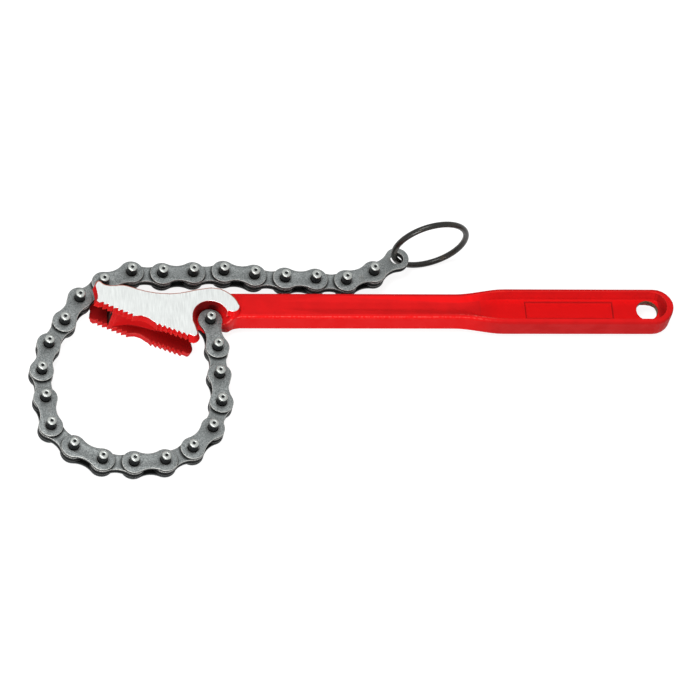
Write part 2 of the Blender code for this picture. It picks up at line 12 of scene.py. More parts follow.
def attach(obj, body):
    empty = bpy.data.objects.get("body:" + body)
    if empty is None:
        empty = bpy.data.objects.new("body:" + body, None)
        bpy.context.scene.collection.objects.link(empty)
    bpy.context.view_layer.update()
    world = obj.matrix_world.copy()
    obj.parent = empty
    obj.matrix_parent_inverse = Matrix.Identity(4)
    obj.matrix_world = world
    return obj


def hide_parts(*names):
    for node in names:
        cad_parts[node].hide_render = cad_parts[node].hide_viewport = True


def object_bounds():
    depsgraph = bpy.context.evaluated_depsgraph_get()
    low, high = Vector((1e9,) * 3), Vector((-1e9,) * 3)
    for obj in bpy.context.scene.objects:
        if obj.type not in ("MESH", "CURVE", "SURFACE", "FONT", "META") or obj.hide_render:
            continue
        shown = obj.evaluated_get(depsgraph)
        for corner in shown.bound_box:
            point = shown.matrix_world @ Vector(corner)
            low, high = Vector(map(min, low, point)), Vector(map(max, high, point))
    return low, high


MM = 0.001

# Camera at the photograph's angle
CAMERA_TARGET = Vector((91.34, -22.76, 11.0)) * MM
CAMERA_DISTANCE = 2548.4 * MM
CAMERA_AZIMUTH = -20.28
CAMERA_ELEVATION = 58.91
CAMERA_ROLL = 17.59
CAMERA_CLIP = (0.05, 50.0)
FOCAL_LENGTH_PIXELS = 5000
IMAGE_SIZE = 700
SENSOR_WIDTH = 36.0

# Light and floor
WORLD_LEVEL = 0.28
LIGHT_AIM = (0.09, 0.0, 0.0)
TOP_LIGHT = {"place": (-0.34, -0.07, 1.43), "size": (0.6, 0.6), "power": 13.0}
FRONT_LIGHT = {"place": (-0.29, -1.35, 0.53), "size": (0.5, 0.3), "power": 12.0}
FLOOR_SIZE = 12.0
FLOOR_GAP = 0.2 * MM
FLOOR_COLOUR = (0.34, 0.34, 0.34, 1.0)
FLOOR_GLOW = 0.87

# Chain pieces, as in the solids, but for an end radius a hair smaller that keeps inside their facets
PLATE_THICKNESS = 1.5 * MM
PLATE_END_RADIUS = 6.17 * MM
PLATE_WAIST = 8.4 * MM
PLATE_EDGE_RADIUS = 0.22 * MM
PLATE_GAP = 0.3 * MM
INNER_PLATE_SPREAD = 0.9 * MM
PIN_RADIUS = 2.5 * MM
PIN_HALF_LENGTH = 9.0 * MM
HOLE_CLEARANCE = 0.3 * MM
RING_HOLE_RADIUS = 3.4 * MM
INNER_PLATE_Z = INNER_PLATE_SPREAD / 2 + PLATE_THICKNESS / 2
OUTER_PLATE_Z = INNER_PLATE_Z + PLATE_THICKNESS + PLATE_GAP

# Pull ring, as in the solids, with the wire a hair thinner for the same reason
RING_WIRE_RADIUS = 1.57 * MM
RING_RADIUS = 19.4 * MM
RING_HEADING = 11.5
RING_FLOOR_GAP = 0.1 * MM

# Fineness of the chain's and the ring's meshes, and the rim mark on a plate's two flat faces
PLATE_END_STEPS = 30
PLATE_WAIST_STEPS = 8
ROUND_STEPS = 32
RING_STEPS = 144
WIRE_STEPS = 24
WELD = 0.001 * MM
SHARP_ANGLE = 50.0
FACE_SKIN = 0.02 * MM
RIM_ON_FACE = 0.25

# Lever
HEAD_THICKNESS = 22.0 * MM
MID_Z = HEAD_THICKNESS / 2
JAW_THICKNESS = 4.7 * MM
HANGING_HOLE = Vector((249.3, 0.0)) * MM
HANGING_HOLE_RADIUS = 5.6 * MM
ANCHOR_PIN = Vector((20.0, -7.3)) * MM
SHANK_START_X = 30.0 * MM
FLARE_START_X = 150.0 * MM
FLARE_END_X = 176.0 * MM
GRIP_START_X = 172.0 * MM
WEB_END_X = -29.5 * MM
REAR_TIP = Vector((6.6, -16.5)) * MM
PANEL_CENTRE = Vector((208.0, 0.0)) * MM
PANEL_HALF = Vector((23.0, 4.8)) * MM

# Finer shape of the lever: how far it is smoothed, how its teeth are kept crisp,
# and heights from the middle before and after the grip's web is forged thinner
LEVER_VOXEL = 0.25 * MM
GROUND_SKIN = 0.15 * MM
RELAX_PULLS = (0.55, -0.57)
HEAD_RELAX = 0.35
FIRST_ROUNDS = 4
LATER_ROUNDS = 36
TEETH_LINE_START = Vector((-38.0, 2.0)) * MM
TEETH_LINE_SLOPE = -0.40
TEETH_SHARPNESS = 1.5
TEETH_ROUNDS = 8
GRIP_HEIGHTS = np.array((0.0, 2.5, 3.0, 7.0, 11.0)) * MM
GRIP_FORGED_HEIGHTS = np.array((0.0, 1.0, 1.5, 7.0, 11.0)) * MM

# Wear, light and shade painted on the lever to suit the photographed view
# A fade runs from where a mark starts to where it is full, by place or by how far a face turns one way
EDGE_GAIN = 4.0
MARGIN_ROUNDS = 10
MARGIN_BESIDE_FADE = (0.98, 0.85)
MARGIN_UPPER_FADE = (0.01, 0.07)
FACING_UP_FADE = (0.3, 0.8)
REAR_FACE_SHADE = 0.75
REAR_FACE_FADE_Y = (-28.0 * MM, -20.0 * MM)
WEB_END_FADE_X = (WEB_END_X - 6.0 * MM, WEB_END_X - 1.0 * MM)
WEB_END_TURN_FADE = (0.3, 0.7)
POCKET_SHADE_RADIUS = 10.5 * MM
POCKET_FADE_Y = (-8.0 * MM, -1.5 * MM)
POCKET_TOP_GAP = 0.5 * MM
GRIP_WALL_SHADE = 0.16
GRIP_WALL_TURN_FADE = (0.15, 0.85)
GRIP_END_SHADE = 0.60
GRIP_FLOOR_HALF = 4.0 * MM
# painted light on the grip's recess floor
GRIP_FLOOR_PAINTED_LIGHT = 0.6
GRIP_FLOOR_LEAST_SHADE = 0.05
PANEL_LINE = 0.6 * MM
PANEL_LINE_SHADE = 0.4
# painted light on the shank's near side
SHANK_PAINTED_LIGHT = 0.7
SLOPE_TURN_FADE = (0.2, 0.6)
SHANK_FADE_X = (SHANK_START_X - 8.0 * MM, SHANK_START_X)
BORE_SKIN = 0.25 * MM
BORE_WALL_TURN_FADE = (0.75, 0.45)

# Colours, linear
PAINT = (0.75, 0.0120, 0.0130)
PAINT_DEEP = (0.68, 0.0110, 0.0120)
PAINT_SHADE = (0.12, 0.004, 0.004)
# painted light on the shank's near side and the grip's recess floor
PAINT_PAINTED_LIGHT = (0.94, 0.0070, 0.0080)
PAINT_EDGE = (0.86, 0.045, 0.030)
# painted highlight along the shank's lower front edge
PAINTED_HIGHLIGHT = (0.90, 0.20, 0.17)
GROUND_STEEL = (0.71, 0.735, 0.722)
GROUND_MARGIN = (0.30, 0.060, 0.022)
BORE_METAL = (0.16, 0.085, 0.045)
# painted shade on the web's front end
WEB_END_SHADE = (0.022, 0.008, 0.006)
PLATE_DARK = (0.094, 0.105, 0.106)
PLATE_LIGHT = (0.312, 0.330, 0.326)
# painted shade on the plates' sides and inner faces, and round the pins
PLATE_SIDE_SHADE = (0.013, 0.015, 0.016)
PLATE_INSIDE_SHADE = (0.006, 0.007, 0.007)
# pale worn rims, partly a painted highlight
PLATE_RIM = (0.58, 0.575, 0.545)
PLATE_STAIN = (0.16, 0.12, 0.085)
PIN_BRIGHT = (0.43, 0.450, 0.43)
# painted shade on the pins' sides and in their dimples
PIN_SHADE = (0.010, 0.011, 0.012)
RING_DARK = (0.012, 0.012, 0.010)
RING_BROWN = (0.048, 0.036, 0.020)

# Painted shade in rings round each pin and beside the plates that cover one, from and to a distance in
# pitches
PIN_SHADE_RING = (0.16, 0.26)
COVER_SHADE_RING = (0.385, 0.49)

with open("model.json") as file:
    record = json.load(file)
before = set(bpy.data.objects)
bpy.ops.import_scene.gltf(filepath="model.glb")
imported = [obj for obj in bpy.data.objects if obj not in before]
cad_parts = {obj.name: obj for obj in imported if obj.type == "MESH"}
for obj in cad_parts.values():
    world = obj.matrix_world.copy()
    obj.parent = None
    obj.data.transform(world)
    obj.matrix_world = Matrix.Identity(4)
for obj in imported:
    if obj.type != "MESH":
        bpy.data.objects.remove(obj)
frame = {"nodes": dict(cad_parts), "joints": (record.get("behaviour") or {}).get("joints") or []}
cad_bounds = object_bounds()


# Camera, light and floor

def add_camera():
    azimuth = math.radians(CAMERA_AZIMUTH)
    elevation = math.radians(CAMERA_ELEVATION)
    back = Vector((math.sin(azimuth) * math.cos(elevation), -math.cos(azimuth) * math.cos(elevation),
                   math.sin(elevation)))
    level = Vector((0.0, 0.0, 1.0)).cross(back).normalized()
    upright = back.cross(level)
    roll = math.radians(CAMERA_ROLL)
    right = level * math.cos(roll) + upright * math.sin(roll)
    up = upright * math.cos(roll) - level * math.sin(roll)
    data = bpy.data.cameras.new("camera")
    data.lens = FOCAL_LENGTH_PIXELS / IMAGE_SIZE * SENSOR_WIDTH
    data.sensor_width = SENSOR_WIDTH
    data.clip_start, data.clip_end = CAMERA_CLIP
    camera = bpy.data.objects.new("camera", data)
    bpy.context.scene.collection.objects.link(camera)
    place = Matrix((right, up, back)).transposed().to_4x4()
    place.translation = CAMERA_TARGET + back * CAMERA_DISTANCE
    camera.matrix_world = place
    bpy.context.scene.camera = camera


def add_area_light(name, place, size, power):
    data = bpy.data.lights.new(name, "AREA")
    data.shape = "RECTANGLE"
    data.size, data.size_y = size
    data.energy = power
    light = bpy.data.objects.new(name, data)
    bpy.context.scene.collection.objects.link(light)
    light.location = place
    light.rotation_mode = "QUATERNION"
    light.rotation_quaternion = (Vector(LIGHT_AIM) - Vector(place)).to_track_quat("-Z", "Y")
    light.visible_camera = False


def seen_rays(tree, *kinds):
    """A socket that is 1 for rays of any of these kinds."""
    path = tree.nodes.new("ShaderNodeLightPath")
    seen = path.outputs[kinds[0]]
    for kind in kinds[1:]:
        either = add_node(tree, "ShaderNodeMath", operation="MAXIMUM")
        tree.links.new(seen, either.inputs[0])
        tree.links.new(path.outputs[kind], either.inputs[1])
        seen = either.outputs[0]
    return seen


def add_world():
    """White to the camera and in reflections, and a plain grey level as light."""
    world = bpy.data.worlds.new("studio")
    bpy.context.scene.world = world
    world.use_nodes = True
    tree = world.node_tree
    background = tree.nodes["Background"]
    background.inputs["Color"].default_value = (1.0, 1.0, 1.0, 1.0)
    seen = seen_rays(tree, "Is Camera Ray", "Is Glossy Ray", "Is Transmission Ray")
    strength = add_node(tree, "ShaderNodeMapRange", {"To Min": WORLD_LEVEL, "To Max": 1.0})
    tree.links.new(seen, strength.inputs["Value"])
    tree.links.new(strength.outputs["Result"], background.inputs["Strength"])


def add_floor():
    material, tree, shader = new_material("floor_white")
    shader.inputs["Base Color"].default_value = FLOOR_COLOUR
    shader.inputs["Roughness"].default_value = 0.9
    shader.inputs["Specular IOR Level"].default_value = 0.1
    shader.inputs["Emission Color"].default_value = (1.0, 1.0, 1.0, 1.0)
    glow = add_node(tree, "ShaderNodeMath", {1: FLOOR_GLOW}, operation="MULTIPLY")
    tree.links.new(seen_rays(tree, "Is Camera Ray", "Is Glossy Ray"), glow.inputs[0])
    tree.links.new(glow.outputs[0], shader.inputs["Emission Strength"])
    bpy.ops.mesh.primitive_plane_add(size=FLOOR_SIZE, location=(0.1, 0.0, -FLOOR_GAP))
    floor = bpy.context.object
    floor.name = "floor"
    floor.data.materials.append(material)


# Materials

def new_material(name):
    material = bpy.data.materials.new(name)
    material.use_nodes = True
    return material, material.node_tree, material.node_tree.nodes["Principled BSDF"]


def add_node(tree, kind, values=None, **settings):
    """A node with its settings, and values or links for its inputs."""
    item = tree.nodes.new(kind)
    for setting, value in settings.items():
        setattr(item, setting, value)
    for socket, value in (values or {}).items():
        if isinstance(value, bpy.types.NodeSocket):
            tree.links.new(value, item.inputs[socket])
        else:
            item.inputs[socket].default_value = value
    return item


def object_place(tree, stretch=(1.0, 1.0, 1.0)):
    """Place on the object in metres, stretched to make streaks."""
    coordinates = add_node(tree, "ShaderNodeTexCoord")
    mapping = add_node(tree, "ShaderNodeMapping", {"Vector": coordinates.outputs["Object"], "Scale": stretch})
    return mapping.outputs["Vector"]


def noise(tree, place, size, detail=3.0, roughness=0.55):
    """Noise with features of a given size in metres, from 0 to 1."""
    values = {"Vector": place, "Scale": 1.0 / size, "Detail": detail, "Roughness": roughness}
    return add_node(tree, "ShaderNodeTexNoise", values).outputs["Fac"]


def ramp(tree, value, low, high, start=0.0, end=1.0):
    """Maps low..high smoothly to start..end, held at both ends."""
    values = {"Value": value, "From Min": low, "From Max": high, "To Min": start, "To Max": end}
    return add_node(tree, "ShaderNodeMapRange", values, interpolation_type="SMOOTHSTEP").outputs["Result"]


def mix(tree, share, first, second):
    """Colour between two colours or sockets by a share."""
    colours = [colour if isinstance(colour, bpy.types.NodeSocket) else (*colour, 1.0)
               for colour in (first, second)]
    item = add_node(tree, "ShaderNodeMix", data_type="RGBA")
    for index, value in ((0, share), (6, colours[0]), (7, colours[1])):
        if isinstance(value, bpy.types.NodeSocket):
            tree.links.new(value, item.inputs[index])
        else:
            item.inputs[index].default_value = value
    return item.outputs[2]


def math_node(tree, operation, first, second=0.0):
    return add_node(tree, "ShaderNodeMath", {0: first, 1: second}, operation=operation).outputs[0]


def attribute(tree, name):
    return add_node(tree, "ShaderNodeAttribute", attribute_name=name).outputs["Fac"]


def add_bump(tree, shader, height, strength, distance):
    bump = add_node(tree, "ShaderNodeBump", {"Height": height, "Strength": strength, "Distance": distance})
    tree.links.new(bump.outputs["Normal"], shader.inputs["Normal"])


def paint_material():
    """Red paint over a forging, ground bare on the jaw faces and worn to metal in the hanging hole."""
    material, tree, shader = new_material("red_paint_looks")
    place = object_place(tree)
    clouds = noise(tree, place, 9 * MM, 4.0)
    grain = noise(tree, place, 0.9 * MM, 3.0)
    pits = noise(tree, place, 0.35 * MM, 2.0)
    worn = noise(tree, place, 1.3 * MM, 3.0)
    edge = attribute(tree, "edge")
    ground = ramp(tree, attribute(tree, "ground"), 0.45, 0.55)
    fringe = ramp(tree, attribute(tree, "ground"), 0.12, 0.4)
    bore = ramp(tree, attribute(tree, "bore"), 0.4, 0.6)
    web_end_shade = ramp(tree, attribute(tree, "web_end_shade"), 0.2, 0.8)

    red = mix(tree, ramp(tree, clouds, 0.35, 0.7), PAINT, PAINT_DEEP)
    red = mix(tree, ramp(tree, edge, 0.12, 0.5, 0.0, 0.5), red, PAINT_EDGE)
    red = mix(tree, ramp(tree, grain, 0.62, 0.78, 0.0, 0.25), red, PAINT_DEEP)
    red = mix(tree, math_node(tree, "MULTIPLY", fringe, 0.7), red, PAINT_EDGE)
    red = mix(tree, math_node(tree, "MULTIPLY", attribute(tree, "shade"), 0.92), red, PAINT_SHADE)
    # painted light on the shank's near side and the grip's recess floor
    red = mix(tree, attribute(tree, "painted_light"), red, PAINT_PAINTED_LIGHT)
    # painted highlight along the shank's lower front edge, broken into dashes by the worn noise
    painted_highlight = math_node(tree, "MULTIPLY", ramp(tree, edge, 0.05, 0.2), ramp(tree, worn, 0.40, 0.58, 0.0, 0.55))
    red = mix(tree, math_node(tree, "MULTIPLY", painted_highlight, attribute(tree, "highlight_line")), red, PAINTED_HIGHLIGHT)

    brushed = noise(tree, object_place(tree, (1.0, 0.05, 1.0)), 0.4 * MM, 5.0, 0.65)
    smudge = noise(tree, place, 5 * MM, 3.0)
    steel = mix(tree, ramp(tree, brushed, 0.35, 0.65), [0.88 * c for c in GROUND_STEEL], GROUND_STEEL)
    steel = mix(tree, ramp(tree, smudge, 0.45, 0.75, 0.0, 0.35), steel, [0.84 * c for c in GROUND_STEEL])
    steel = mix(tree, attribute(tree, "margin"), steel, GROUND_MARGIN)

    rust = mix(tree, ramp(tree, grain, 0.35, 0.65), BORE_METAL, [2.2 * c for c in BORE_METAL])
    colour = mix(tree, ground, red, steel)
    colour = mix(tree, bore, colour, rust)
    # painted shade on the web's front end
    colour = mix(tree, web_end_shade, colour, WEB_END_SHADE)
    tree.links.new(colour, shader.inputs["Base Color"])
    tree.links.new(math_node(tree, "MULTIPLY", ground, 0.95), shader.inputs["Metallic"])
    gloss = ramp(tree, clouds, 0.3, 0.7, 0.34, 0.48)
    steel_gloss = ramp(tree, brushed, 0.3, 0.7, 0.30, 0.46)
    rough = add_node(tree, "ShaderNodeMix", data_type="FLOAT")
    for index, value in ((0, ground), (2, gloss), (3, steel_gloss)):
        tree.links.new(value, rough.inputs[index])
    tree.links.new(rough.outputs[0], shader.inputs["Roughness"])
    shader.inputs["Specular IOR Level"].default_value = 0.04
    height = math_node(tree, "ADD", math_node(tree, "MULTIPLY", grain, 0.7),
                       math_node(tree, "MULTIPLY", pits, 0.3))
    bare = math_node(tree, "MULTIPLY", brushed, 0.35)
    level = add_node(tree, "ShaderNodeMix", data_type="FLOAT")
    for index, value in ((0, ground), (2, height), (3, bare)):
        tree.links.new(value, level.inputs[index])
    add_bump(tree, shader, level.outputs[0], 0.35, 0.05 * MM)
    return material


def plate_material():
    """Blasted grey chain steel: speckled, pale along its worn rims that are partly a painted highlight,
    with painted shade on its sides and inner face, round the pins and beside the plates that cover it."""
    material, tree, shader = new_material("chain_steel_looks")
    place = object_place(tree)
    speckle = noise(tree, place, 0.5 * MM, 3.0, 0.7)
    patches = noise(tree, place, 4.5 * MM, 3.0)
    stains = noise(tree, place, 8 * MM, 4.0, 0.65)
    rim = attribute(tree, "rim")
    colour = mix(tree, ramp(tree, speckle, 0.34, 0.68), PLATE_DARK, PLATE_LIGHT)
    plain = [0.5 * (dark + light) for dark, light in zip(PLATE_DARK, PLATE_LIGHT)]
    colour = mix(tree, ramp(tree, patches, 0.35, 0.7, 0.0, 0.45), colour, plain)
    colour = mix(tree, ramp(tree, stains, 0.6, 0.78, 0.0, 0.35), colour, PLATE_STAIN)
    # painted shade on the sides and the inner face
    colour = mix(tree, ramp(tree, rim, 0.2, 0.02), colour, PLATE_SIDE_SHADE)
    colour = mix(tree, ramp(tree, rim, -0.02, -0.2), colour, PLATE_INSIDE_SHADE)
    # painted shade round the pins and beside the plates that cover this one
    from_end = math_node(tree, "SUBTRACT", 0.5, math_node(tree, "ABSOLUTE", attribute(tree, "along")))
    squares = [math_node(tree, "POWER", value, 2.0) for value in (
        math_node(tree, "ABSOLUTE", from_end), math_node(tree, "ABSOLUTE", attribute(tree, "across")))]
    from_pin = math_node(tree, "SQRT", math_node(tree, "ADD", *squares))
    ring_shade = ramp(tree, from_pin, *PIN_SHADE_RING, 0.5, 0.0)
    covered = math_node(tree, "MULTIPLY", ramp(tree, from_pin, *COVER_SHADE_RING, 0.8, 0.0),
                        attribute(tree, "covered"))
    colour = mix(tree, math_node(tree, "MAXIMUM", ring_shade, covered), colour, PLATE_INSIDE_SHADE)
    # pale worn rims, partly a painted highlight
    worn = math_node(tree, "MULTIPLY", ramp(tree, rim, 0.3, 0.9), ramp(tree, speckle, 0.3, 0.55, 0.35, 1.0))
    colour = mix(tree, worn, colour, PLATE_RIM)
    tree.links.new(colour, shader.inputs["Base Color"])
    shader.inputs["Metallic"].default_value = 0.75
    tree.links.new(ramp(tree, speckle, 0.3, 0.7, 0.62, 0.46), shader.inputs["Roughness"])
    add_bump(tree, shader, speckle, 0.45, 0.05 * MM)
    return material


def pin_material():
    """Riveted pins: bright ends, painted shade in the punched dimple and on the sides, and painted highlight
    streaks.
    """
    material, tree, shader = new_material("chain_steel_pins")
    place = object_place(tree)
    grain = noise(tree, place, 0.5 * MM, 3.0, 0.6)
    streaks = noise(tree, object_place(tree, (1.0, 1.0, 0.12)), 0.7 * MM, 3.0)
    end = attribute(tree, "end")
    bright = mix(tree, ramp(tree, grain, 0.35, 0.65), [0.78 * c for c in PIN_BRIGHT], PIN_BRIGHT)
    # painted shade on the sides and in the dimple, with painted highlight streaks
    dark = mix(tree, ramp(tree, streaks, 0.5, 0.8, 0.0, 0.7), PIN_SHADE, [5.0 * c for c in PIN_SHADE])
    tree.links.new(mix(tree, ramp(tree, end, 0.3, 0.7), dark, bright), shader.inputs["Base Color"])
    shader.inputs["Metallic"].default_value = 0.85
    tree.links.new(ramp(tree, grain, 0.3, 0.7, 0.30, 0.48), shader.inputs["Roughness"])
    add_bump(tree, shader, grain, 0.3, 0.03 * MM)
    return material


def ring_material():
    """Dark oiled wire with brown tints."""
    material, tree, shader = new_material("ring_steel_looks")
    place = object_place(tree)
    grain = noise(tree, place, 0.6 * MM, 3.0)
    tint = noise(tree, place, 6 * MM, 4.0, 0.6)
    colour = mix(tree, ramp(tree, tint, 0.5, 0.75, 0.0, 0.8), RING_DARK, RING_BROWN)
    colour = mix(tree, ramp(tree, grain, 0.6, 0.8, 0.0, 0.3), colour, [2.0 * c for c in RING_BROWN])
    tree.links.new(colour, shader.inputs["Base Color"])
    shader.inputs["Metallic"].default_value = 0.2
    shader.inputs["Specular IOR Level"].default_value = 0.4
    tree.links.new(ramp(tree, grain, 0.3, 0.7, 0.20, 0.34), shader.inputs["Roughness"])
    add_bump(tree, shader, grain, 0.25, 0.04 * MM)
    return material


# Shapes

def add_piece(name, mesh, material, body, slot, *nodes):
    """A finished mesh, already in place, that rides on a body and stands for some of its nodes."""
    piece = bpy.data.objects.new(name, mesh)
    bpy.context.scene.collection.objects.link(piece)
    mesh.materials.clear()
    mesh.materials.append(material)
    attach(piece, body)
    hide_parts(*nodes)
    return piece


def mesh_places(mesh):
    places = np.empty(len(mesh.vertices) * 3)
    mesh.vertices.foreach_get("co", places)
    return places.reshape(-1, 3)


def set_attribute(mesh, name, values):
    layer = mesh.attributes.new(name, "FLOAT", "POINT")
    layer.data.foreach_set("value", np.asarray(values, np.float32))


def neighbour_mean(values, edges, count):
    """Mean of each point's neighbours."""
    total = np.empty_like(values)
    for axis in range(values.shape[1]):
        column = values[:, axis]
        total[:, axis] = (np.bincount(edges[:, 0], column[edges[:, 1]], len(values))
                          + np.bincount(edges[:, 1], column[edges[:, 0]], len(values)))
    return total / count


def relax(places, edges, weight, rounds):
    """Smooths a mesh with hardly any shrinking, each point by its own weight."""
    count = np.maximum(np.bincount(edges.ravel(), minlength=len(places)), 1)[:, None]
    for _ in range(rounds):
        for pull in RELAX_PULLS:
            places = places + (neighbour_mean(places, edges, count) - places) * pull * weight[:, None]
    return places


def smooth_step(value, low, high):
    t = np.clip((value - low) / (high - low), 0.0, 1.0)
    return t * t * (3 - 2 * t)


def lever_mesh():
    """The forging on a fine grid: facets rounded off, teeth kept crisp, and the grip's web forged thinner."""
    source = bpy.data.objects.new("lever_source", frame["nodes"]["lever"].data.copy())
    bpy.context.scene.collection.objects.link(source)
    remesh = source.modifiers.new("remesh", "REMESH")
    remesh.mode = "VOXEL"
    remesh.voxel_size = LEVER_VOXEL
    mesh = bpy.data.meshes.new_from_object(source.evaluated_get(bpy.context.evaluated_depsgraph_get()))
    bpy.data.objects.remove(source, do_unlink=True)
    places = mesh_places(mesh)
    edges = np.empty(len(mesh.edges) * 2, int)
    mesh.edges.foreach_get("vertices", edges)
    edges = edges.reshape(-1, 2)

    on_top = places[:, 2] > HEAD_THICKNESS - GROUND_SKIN
    on_bottom = places[:, 2] < GROUND_SKIN
    in_jaw = np.abs(places[:, 2] - MID_Z) > MID_Z - JAW_THICKNESS - GROUND_SKIN
    in_head = in_jaw & (places[:, 0] < SHANK_START_X)
    places = relax(places, edges, np.where(in_head, HEAD_RELAX, 1.0), FIRST_ROUNDS)
    at_rear_tip = (places[:, 2] < MID_Z) & (places[:, 0] > REAR_TIP.x) & (places[:, 1] < REAR_TIP.y)
    places = relax(places, edges, np.where(in_head & ~at_rear_tip, 0.0, 1.0), LATER_ROUNDS)
    places[on_top, 2] = HEAD_THICKNESS
    places[on_bottom, 2] = 0.0

    soft = places
    count = np.maximum(np.bincount(edges.ravel(), minlength=len(places)), 1)[:, None]
    for _ in range(TEETH_ROUNDS):
        soft = neighbour_mean(soft, edges, count)
    teeth_line = TEETH_LINE_START.y + TEETH_LINE_SLOPE * (places[:, 0] - TEETH_LINE_START.x)
    in_teeth = in_head & (places[:, 1] < teeth_line) & ~at_rear_tip
    places[:, :2] += TEETH_SHARPNESS * (places - soft)[:, :2] * in_teeth[:, None]

    height = places[:, 2] - MID_Z
    forged = np.sign(height) * np.interp(np.abs(height), GRIP_HEIGHTS, GRIP_FORGED_HEIGHTS)
    places[:, 2] += (forged - height) * smooth_step(places[:, 0], FLARE_START_X, FLARE_END_X)
    places[:, 0] = np.minimum(places[:, 0], cad_bounds[1][0])

    mesh.vertices.foreach_set("co", places.ravel())
    mesh.update()
    mark_edges_and_ground(mesh, places, edges, on_top | on_bottom)
    mark_light_and_shade(mesh, places, height)
    mesh.shade_smooth()
    return mesh


def mesh_normals(mesh):
    normals = np.empty(len(mesh.vertices) * 3)
    mesh.vertices.foreach_get("normal", normals)
    return normals.reshape(-1, 3)


def mark_edges_and_ground(mesh, places, edges, ground):
    """Marks the worn edges, which the painted highlight also follows, the ground faces, and the brown line
    along the upper side of a ground face.
    """
    normals = mesh_normals(mesh)
    count = np.maximum(np.bincount(edges.ravel(), minlength=len(places)), 1)[:, None]
    bulge = ((places - neighbour_mean(places, edges, count)) * normals).sum(1) / LEVER_VOXEL
    bulge = neighbour_mean(bulge[:, None], edges, count)
    set_attribute(mesh, "edge", bulge.ravel() * EDGE_GAIN)
    set_attribute(mesh, "ground", ground)
    margin = np.column_stack((ground, normals[:, 1]))
    for _ in range(MARGIN_ROUNDS):
        margin = neighbour_mean(margin, edges, count)
    margin = smooth_step(margin[:, 0], *MARGIN_BESIDE_FADE) * smooth_step(margin[:, 1], *MARGIN_UPPER_FADE)
    set_attribute(mesh, "margin", margin)


def mark_light_and_shade(mesh, places, height):
    """Marks painted shade, painted light and a painted highlight, and the worn bore; height is taken before
    the web is thinned.
    """
    x, y, z = places.T
    to_right, to_back, upward = mesh_normals(mesh).T
    facing_up = smooth_step(upward, *FACING_UP_FADE)
    in_grip = smooth_step(x, FLARE_START_X, GRIP_START_X)
    in_shank = smooth_step(x, *SHANK_FADE_X) * (1.0 - in_grip)

    rear_face = (height < 0) & (x < ANCHOR_PIN.x)
    shade = REAR_FACE_SHADE * rear_face * facing_up * smooth_step(y, *REAR_FACE_FADE_Y)
    by_web_end = smooth_step(x, *WEB_END_FADE_X) * (x < WEB_END_X)
    shade = np.maximum(shade, rear_face * by_web_end * facing_up)
    from_pin = np.hypot(x - ANCHOR_PIN.x, y - ANCHOR_PIN.y)
    in_pocket = (from_pin < POCKET_SHADE_RADIUS) & (z < HEAD_THICKNESS - POCKET_TOP_GAP)
    shade = np.maximum(shade, in_pocket * smooth_step(y, *POCKET_FADE_Y))
    shade = np.maximum(shade, in_grip * GRIP_WALL_SHADE * smooth_step(-to_back, *GRIP_WALL_TURN_FADE))
    shade = np.maximum(shade, in_grip * GRIP_END_SHADE * smooth_step(-to_right, *SLOPE_TURN_FADE))
    from_panel = np.abs(places[:, :2] - np.array(PANEL_CENTRE)) - np.array(PANEL_HALF)
    panel_line = smooth_step(np.abs(from_panel.max(axis=1)), PANEL_LINE, 0.0)
    on_floor = np.abs(height) < GRIP_FLOOR_HALF
    shade = np.maximum(shade, on_floor * (z > MID_Z) * PANEL_LINE_SHADE * panel_line)
    set_attribute(mesh, "shade", shade)

    # painted light on the shank's near side and the grip's recess floor
    painted_light = SHANK_PAINTED_LIGHT * in_shank * smooth_step(-to_back, *SLOPE_TURN_FADE)
    unshaded = shade < GRIP_FLOOR_LEAST_SHADE
    set_attribute(mesh, "painted_light", np.maximum(painted_light, GRIP_FLOOR_PAINTED_LIGHT * in_grip * on_floor * unshaded))
    # where the painted highlight runs along the shank's lower front edge
    set_attribute(mesh, "highlight_line", in_shank * (y < 0) * (height > 0))

    # painted shade on the web's front end
    in_slot = np.abs(height) < MID_Z - JAW_THICKNESS + GROUND_SKIN
    set_attribute(mesh, "web_end_shade", in_slot * (x < WEB_END_X) * smooth_step(-to_right, *WEB_END_TURN_FADE))
    radius = np.hypot(x - HANGING_HOLE.x, y - HANGING_HOLE.y)
    on_wall = smooth_step(np.abs(upward), *BORE_WALL_TURN_FADE)
    set_attribute(mesh, "bore", (radius < HANGING_HOLE_RADIUS + BORE_SKIN) * on_wall)


def plate_outline(pitch, end_segments, waist_segments):
    """Two round ends joined by a hollow waist, tangent where they meet."""
    def arc(centre, radius, start, end, segments):
        angles = [start + (end - start) * i / segments for i in range(segments + 1)]
        return [centre + radius * Vector((math.cos(a), math.sin(a))) for a in angles]

    half_pitch = pitch / 2
    half_waist = PLATE_WAIST / 2
    corner_square = half_pitch ** 2 + half_waist ** 2 - PLATE_END_RADIUS ** 2
    waist_radius = corner_square / (2 * (PLATE_END_RADIUS - half_waist))
    waist_height = waist_radius + half_waist
    tangent = math.atan2(waist_height, half_pitch)
    outline = arc(Vector((0.0, 0.0)), PLATE_END_RADIUS, tangent, 2 * math.pi - tangent, end_segments)
    outline += arc(Vector((half_pitch, -waist_height)), waist_radius, math.pi - tangent, tangent,
                   waist_segments)[1:-1]
    outline += arc(Vector((pitch, 0.0)), PLATE_END_RADIUS, tangent - math.pi, math.pi - tangent, end_segments)
    outline += arc(Vector((half_pitch, waist_height)), waist_radius, -tangent, tangent - math.pi,
                   waist_segments)[1:-1]
    return outline


